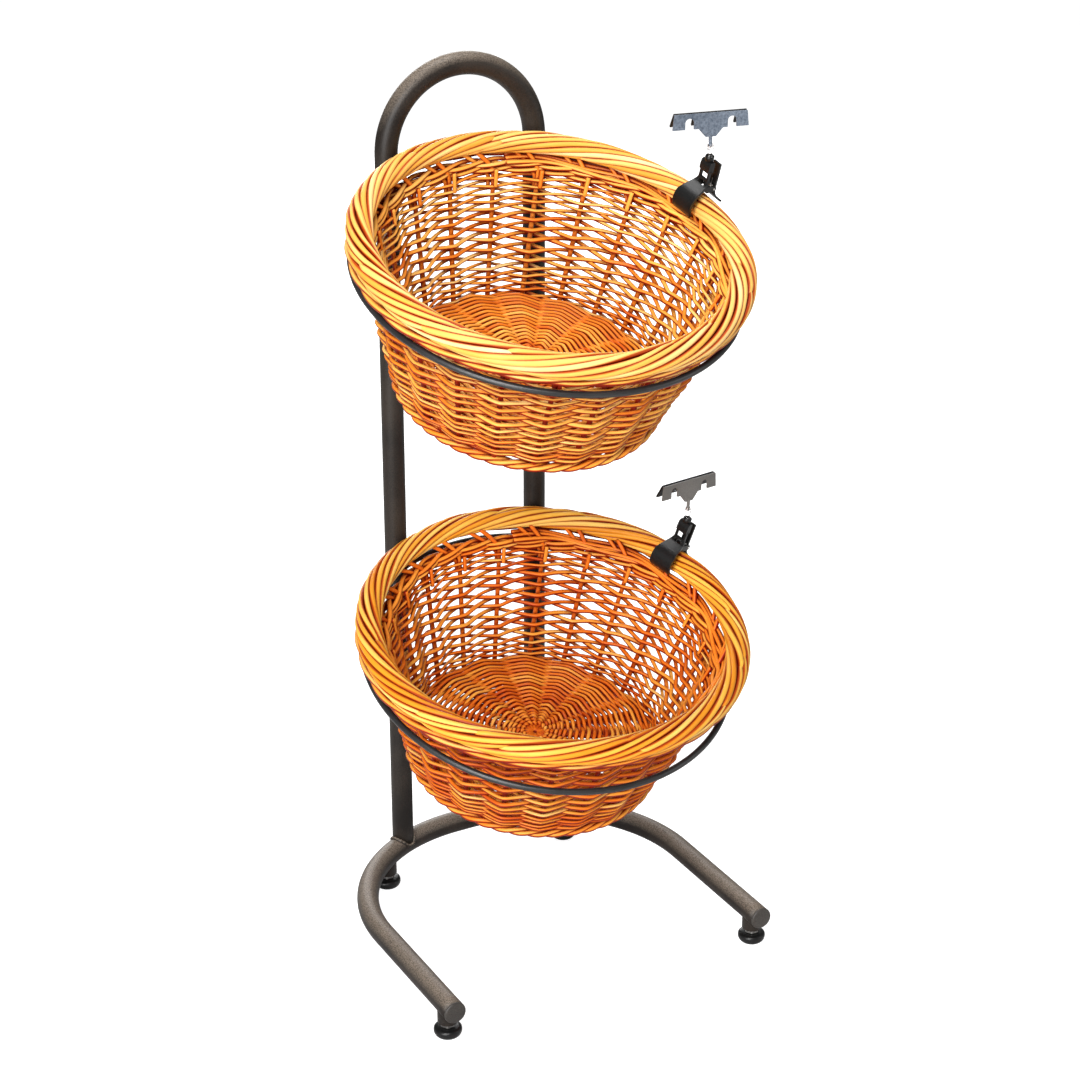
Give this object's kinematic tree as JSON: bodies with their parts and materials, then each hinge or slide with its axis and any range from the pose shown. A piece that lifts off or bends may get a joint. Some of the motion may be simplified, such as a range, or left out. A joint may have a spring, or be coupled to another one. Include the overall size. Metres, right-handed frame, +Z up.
{
  "type": "tiered basket display stand",
  "caption": "Bakery display stand: round willow baskets tilt forward in wire hoops on a bent tube frame, with a sprung sign clip on each basket border.",
  "frame": {"origin": "on the floor, under the middle of the whole stand", "axes": "+Z up, the front with the open side of the base faces -Y, +X to the right seen from the front"},
  "size_m": [0.4076, 0.3872, 0.8724],
  "materials": {
    "powder_coat": "fine textured charcoal-bronze powder coat",
    "willow": "varnished peeled willow",
    "pale_willow": "varnished peeled willow, pale",
    "black_plastic": "satin black moulding",
    "grey_plastic": "satin dark grey moulding",
    "zinc": "zinc plated",
    "spring_steel": "bright spring wire",
    "clear_plastic": "clear moulded plastic"
  },
  "bodies": {
    "frame": {"arch_tube": "powder_coat", "base_tube": "powder_coat", "left_end_plug": "black_plastic", "right_end_plug": "black_plastic", "front_left_foot_socket": "powder_coat", "rear_left_foot_socket": "powder_coat", "front_right_foot_socket": "powder_coat", "rear_right_foot_socket": "powder_coat", "upper_hoop": "powder_coat", "lower_hoop": "powder_coat"},
    "front_left_foot": {"front_left_foot_stud": "zinc", "front_left_foot_nut": "zinc", "front_left_foot_pad": "black_plastic"},
    "front_right_foot": {"front_right_foot_stud": "zinc", "front_right_foot_nut": "zinc", "front_right_foot_pad": "black_plastic"},
    "rear_left_foot": {"rear_left_foot_stud": "zinc", "rear_left_foot_nut": "zinc", "rear_left_foot_pad": "black_plastic"},
    "rear_right_foot": {"rear_right_foot_stud": "zinc", "rear_right_foot_nut": "zinc", "rear_right_foot_pad": "black_plastic"},
    "upper_basket": {"upper_basket_border": "pale_willow", "upper_basket_wale": "willow", "upper_basket_wall": "willow", "upper_basket_floor": "willow", "upper_clip_inner_arm": "black_plastic", "upper_clip_pivot_pin": "zinc", "upper_clip_spring": "spring_steel"},
    "upper_clip_outer_arm_body": {"upper_clip_outer_arm": "black_plastic"},
    "upper_clip_link_body": {"upper_clip_swivel_link": "clear_plastic"},
    "upper_clip_gripper_body": {"upper_clip_gripper_front_leaf": "grey_plastic", "upper_clip_gripper_hinge_pin": "zinc"},
    "upper_clip_back_leaf_body": {"upper_clip_gripper_back_leaf": "grey_plastic"},
    "lower_basket": {"lower_basket_border": "pale_willow", "lower_basket_wale": "willow", "lower_basket_wall": "willow", "lower_basket_floor": "willow", "lower_clip_inner_arm": "black_plastic", "lower_clip_pivot_pin": "zinc", "lower_clip_spring": "spring_steel"},
    "lower_clip_outer_arm_body": {"lower_clip_outer_arm": "black_plastic"},
    "lower_clip_link_body": {"lower_clip_swivel_link": "clear_plastic"},
    "lower_clip_gripper_body": {"lower_clip_gripper_front_leaf": "grey_plastic", "lower_clip_gripper_hinge_pin": "zinc"},
    "lower_clip_back_leaf_body": {"lower_clip_gripper_back_leaf": "grey_plastic"}
  },
  "joints": [
    {"name": "front_left_foot_height", "type": "slide", "parent": "frame", "child": "front_left_foot", "axis": [0, 0, -1], "range_m": [0, 0.01]},
    {"name": "front_right_foot_height", "type": "slide", "parent": "frame", "child": "front_right_foot", "axis": [0, 0, -1], "range_m": [0, 0.01]},
    {"name": "rear_left_foot_height", "type": "slide", "parent": "frame", "child": "rear_left_foot", "axis": [0, 0, -1], "range_m": [0, 0.01]},
    {"name": "rear_right_foot_height", "type": "slide", "parent": "frame", "child": "rear_right_foot", "axis": [0, 0, -1], "range_m": [0, 0.01]},
    {"name": "upper_basket_lift", "type": "slide", "parent": "frame", "child": "upper_basket", "axis": [0, -0.3173, 0.9483], "range_m": [0, 0.14]},
    {"name": "upper_clip_squeeze", "type": "hinge", "parent": "upper_basket", "child": "upper_clip_outer_arm_body", "pos_m": [0.1661, 0.00985, 0.75737], "axis": [0.165, -0.9353, -0.313], "range_deg": [0, 12], "stiffness_Nm_per_rad": 0.4, "springref_deg": -17.19, "deforming": ["upper_clip_spring"]},
    {"name": "upper_clip_swivel", "type": "hinge", "parent": "upper_basket", "child": "upper_clip_link_body", "pos_m": [0.15935, -0.00178, 0.78855], "axis": [0, 0, 1], "range_deg": [-90, 90]},
    {"name": "upper_clip_gripper_tilt", "type": "hinge", "parent": "upper_clip_link_body", "child": "upper_clip_gripper_body", "pos_m": [0.15935, -0.00178, 0.79955], "axis": [0.9781, -0.2079, 0], "range_deg": [-20, 20]},
    {"name": "upper_clip_gripper_open", "type": "hinge", "parent": "upper_clip_gripper_body", "child": "upper_clip_back_leaf_body", "pos_m": [0.16004, 0.00145, 0.82055], "axis": [-0.9781, 0.2079, 0], "range_deg": [0, 12], "stiffness_Nm_per_rad": 0.2, "springref_deg": -17.19},
    {"name": "lower_basket_lift", "type": "slide", "parent": "frame", "child": "lower_basket", "axis": [0, -0.3173, 0.9483], "range_m": [0, 0.14]},
    {"name": "lower_clip_squeeze", "type": "hinge", "parent": "lower_basket", "child": "lower_clip_outer_arm_body", "pos_m": [0.1672, 0.04299, 0.37471], "axis": [0.342, -0.8911, -0.2982], "range_deg": [0, 12], "stiffness_Nm_per_rad": 0.4, "springref_deg": -17.19, "deforming": ["lower_clip_spring"]},
    {"name": "lower_clip_swivel", "type": "hinge", "parent": "lower_basket", "child": "lower_clip_link_body", "pos_m": [0.16629, 0.03191, 0.4068], "axis": [0, 0, 1], "range_deg": [-90, 90]},
    {"name": "lower_clip_gripper_tilt", "type": "hinge", "parent": "lower_clip_link_body", "child": "lower_clip_gripper_body", "pos_m": [0.16629, 0.03191, 0.4178], "axis": [0.973, 0.2246, -0.0523], "range_deg": [-20, 20]},
    {"name": "lower_clip_gripper_open", "type": "hinge", "parent": "lower_clip_gripper_body", "child": "lower_clip_back_leaf_body", "pos_m": [0.16662, 0.03537, 0.43877], "axis": [-0.973, -0.2246, 0.0523], "range_deg": [0, 12], "stiffness_Nm_per_rad": 0.2, "springref_deg": -17.19}
  ]
}
